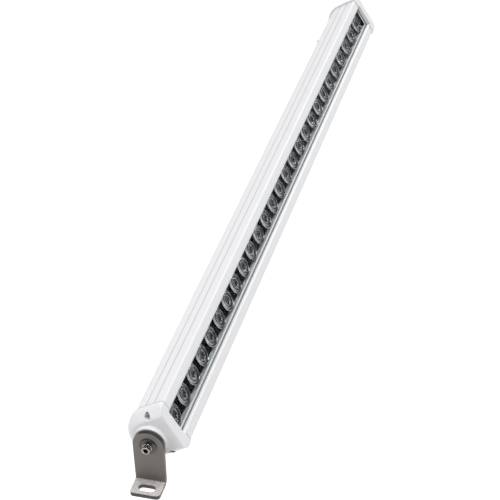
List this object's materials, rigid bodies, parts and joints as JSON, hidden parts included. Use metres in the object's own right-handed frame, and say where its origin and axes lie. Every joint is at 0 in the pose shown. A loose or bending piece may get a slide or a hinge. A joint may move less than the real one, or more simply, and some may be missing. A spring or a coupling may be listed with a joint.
{
  "type": "outdoor wall washer light",
  "caption": "Long slim outdoor light with a row of round lenses behind recessed glass, tilting between two bent steel brackets with slotted feet.",
  "frame": {"origin": "on the mounting surface, half way between the two brackets and below the pivot line", "axes": "+X along the lamp towards the near end, +Y the side that the light faces, +Z away from the mounting surface"},
  "size_m": [0.9746, 0.0702, 0.085],
  "materials": {
    "powder_white": "white powder coat over aluminium, fine orange peel, satin",
    "front_glass": "clear toughened glass",
    "sealant": "translucent white silicone bead",
    "holder_black": "black moulded plastic",
    "lens_clear": "clear acrylic lens, polished",
    "board_white": "aluminium board with white solder mask",
    "led_phosphor": "white ceramic body with a yellow domed phosphor",
    "pad_grey": "grey thermal pad",
    "stainless": "bright stainless fastener",
    "bracket_steel": "tumbled stainless plate, satin",
    "board_green": "green circuit board",
    "transformer_tape": "yellow tape over a ferrite core",
    "capacitor_sleeve": "dark shrink sleeve",
    "inductor_core": "dark ferrite",
    "terminal_plastic": "green terminal block",
    "rubber_black": "black silicone rubber",
    "gland_plastic": "black nylon gland",
    "bush_nylon": "white nylon bush"
  },
  "bodies": {
    "near_foot": {"near_bracket": "bracket_steel", "near_bush": "bush_nylon"},
    "lamp": {"housing": "powder_white", "front_glass": "front_glass", "glass_seal": "sealant", "lens_holder_1": "holder_black", "lens_holder_2": "holder_black", "lens_holder_3": "holder_black", "lens_holder_4": "holder_black", "lens_holder_5": "holder_black", "lens_holder_6": "holder_black", "lens_holder_7": "holder_black", "lens_holder_8": "holder_black", "lens_holder_9": "holder_black", "lens_set_1": "lens_clear", "lens_set_2": "lens_clear", "lens_set_3": "lens_clear", "lens_set_4": "lens_clear", "lens_set_5": "lens_clear", "lens_set_6": "lens_clear", "lens_set_7": "lens_clear", "lens_set_8": "lens_clear", "lens_set_9": "lens_clear", "led_board_1": "board_white", "led_board_2": "board_white", "led_board_3": "board_white", "led_packages": "led_phosphor", "thermal_pads": "pad_grey", "board_screws": "stainless", "driver_board": "board_green", "driver_transformer": "transformer_tape", "driver_capacitors": "capacitor_sleeve", "driver_inductor": "inductor_core", "terminal_block": "terminal_plastic", "near_cap": "powder_white", "far_cap": "powder_white", "near_gasket": "rubber_black", "far_gasket": "rubber_black", "near_cap_screws": "stainless", "far_cap_screws": "stainless", "gland_body": "gland_plastic", "gland_seal": "rubber_black", "gland_nut": "gland_plastic", "near_bolt": "stainless", "far_bolt": "stainless", "near_spring_washer": "stainless", "far_spring_washer": "stainless", "near_washer": "stainless", "far_washer": "stainless"},
    "far_foot": {"far_bracket": "bracket_steel", "far_bush": "bush_nylon"}
  },
  "joints": [
    {"name": "lamp_tilt", "type": "hinge", "parent": "near_foot", "child": "lamp", "pos_m": [0.46085, 0, 0.049], "axis": [1, 0, 0], "range_deg": [-30, 150]},
    {"name": "far_foot_tilt", "type": "hinge", "parent": "lamp", "child": "far_foot", "pos_m": [-0.46085, 0, 0.049], "axis": [1, 0, 0], "range_deg": [-150, 30]}
  ],
  "couplings": [
    {"joint": "far_foot_tilt", "follows": "lamp_tilt", "ratio": -1}
  ]
}
